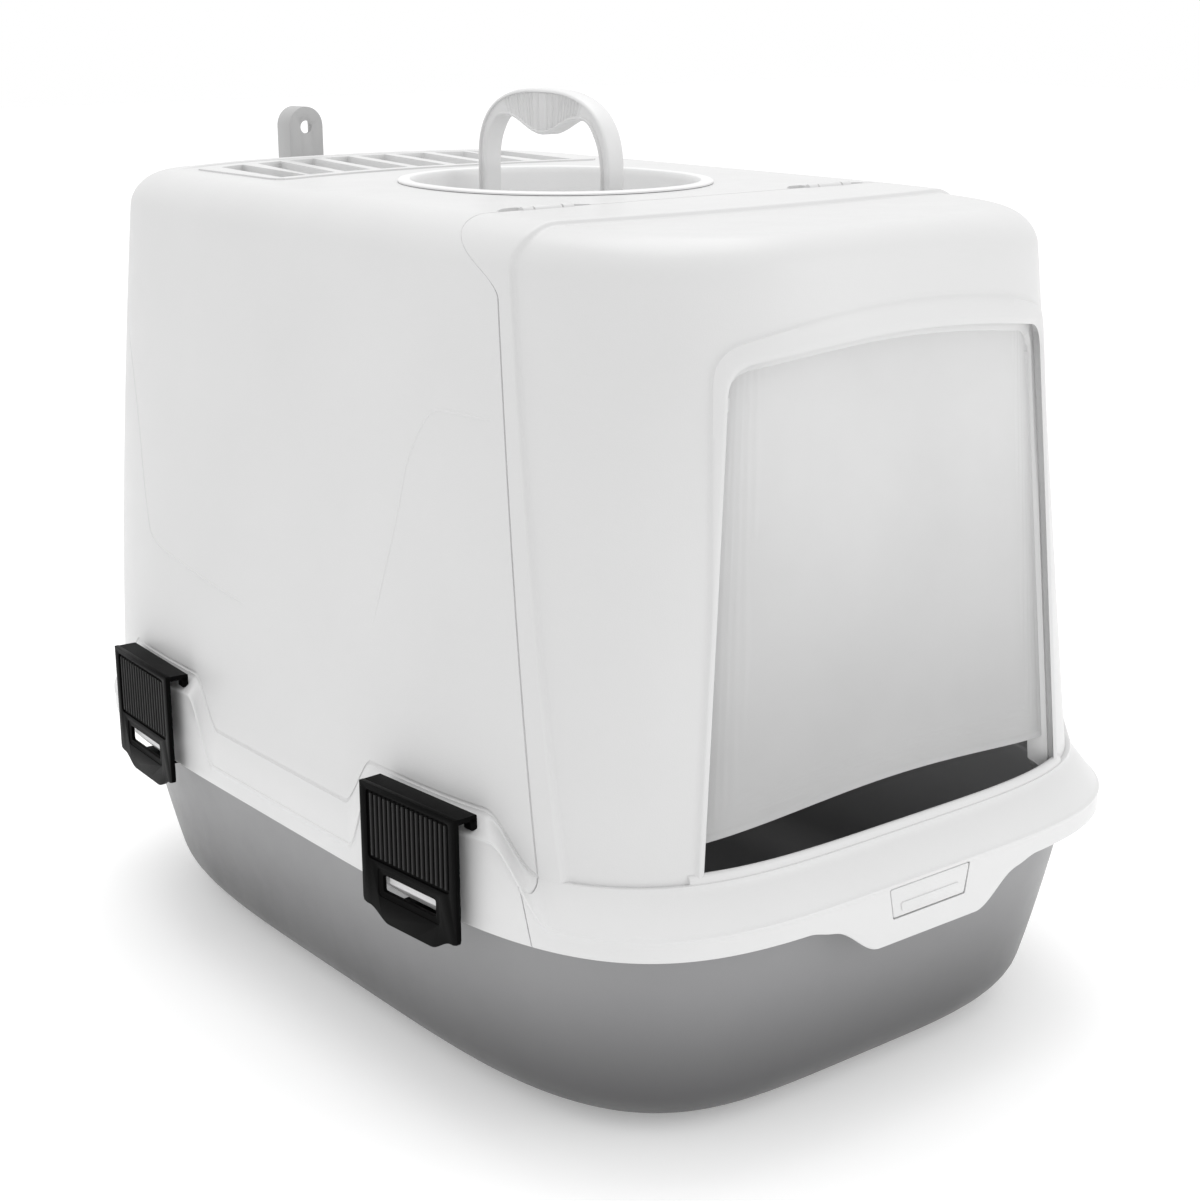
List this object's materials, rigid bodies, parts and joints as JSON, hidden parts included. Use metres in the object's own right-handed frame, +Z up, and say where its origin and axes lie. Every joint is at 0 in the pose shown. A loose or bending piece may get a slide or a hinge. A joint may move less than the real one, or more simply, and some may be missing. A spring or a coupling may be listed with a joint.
{
  "type": "cat litter box with hood",
  "caption": "Hooded cat litter box: deep pan, latched hood with hinged front cover, swing door, roof vent with filter, folding handle and scoop.",
  "frame": {"origin": "centre of the pan's flat bottom, on the surface that the box stands on", "axes": "+Z up, the doorway faces -Y, +X to the right seen from the front"},
  "size_m": [0.4134, 0.5714, 0.474],
  "materials": {
    "white_plastic": "satin moulded polypropylene",
    "grey_plastic": "satin moulded polypropylene",
    "black_plastic": "polished moulding with fine grip ribs",
    "frosted_plastic": "frosted translucent",
    "scoop_plastic": "satin moulded",
    "carbon_foam": "open-cell filter foam"
  },
  "bodies": {
    "box": {"base_pan": "grey_plastic", "hood": "white_plastic", "handle_well": "white_plastic", "scoop_pocket": "white_plastic", "filter_frame": "white_plastic", "filter_pad": "carbon_foam"},
    "cover": {"front_cover": "white_plastic"},
    "door": {"swing_door": "frosted_plastic"},
    "catch": {"front_catch": "white_plastic"},
    "handle": {"carry_handle": "white_plastic"},
    "scoop": {"scoop": "scoop_plastic"},
    "latch_front_left": {"latch_front_left": "black_plastic"},
    "latch_front_right": {"latch_front_right": "black_plastic"},
    "latch_rear_left": {"latch_rear_left": "black_plastic"},
    "latch_rear_right": {"latch_rear_right": "black_plastic"}
  },
  "joints": [
    {"name": "cover_hinge", "type": "hinge", "parent": "box", "child": "cover", "pos_m": [0, -0.104, 0.425], "axis": [-1, 0, 0], "range_deg": [0, 95]},
    {"name": "door_swing", "type": "hinge", "parent": "cover", "child": "door", "pos_m": [0, -0.2365, 0.352], "axis": [1, 0, 0], "range_deg": [-70, 70]},
    {"name": "catch_flex", "type": "hinge", "parent": "cover", "child": "catch", "pos_m": [0, -0.279, 0.1045], "axis": [1, 0, 0], "range_deg": [0, 12], "stiffness_Nm_per_rad": 0.4},
    {"name": "handle_fold", "type": "hinge", "parent": "box", "child": "handle", "pos_m": [0, 0.0173, 0.404], "axis": [0, 1, 0], "range_deg": [0, 65]},
    {"name": "scoop_lift", "type": "slide", "parent": "box", "child": "scoop", "axis": [0, 0, 1], "range_m": [0, 0.12]},
    {"name": "latch_front_left_hinge", "type": "hinge", "parent": "box", "child": "latch_front_left", "pos_m": [-0.19268, -0.13878, 0.163], "axis": [-0.0783, 0.9969, 0], "range_deg": [0, 100]},
    {"name": "latch_front_right_hinge", "type": "hinge", "parent": "box", "child": "latch_front_right", "pos_m": [0.19268, -0.13878, 0.163], "axis": [-0.0783, -0.9969, 0], "range_deg": [0, 100]},
    {"name": "latch_rear_left_hinge", "type": "hinge", "parent": "box", "child": "latch_rear_left", "pos_m": [-0.19348, 0.12933, 0.163], "axis": [0.0618, 0.9981, 0], "range_deg": [0, 100]},
    {"name": "latch_rear_right_hinge", "type": "hinge", "parent": "box", "child": "latch_rear_right", "pos_m": [0.19348, 0.12933, 0.163], "axis": [0.0618, -0.9981, 0], "range_deg": [0, 100]}
  ]
}
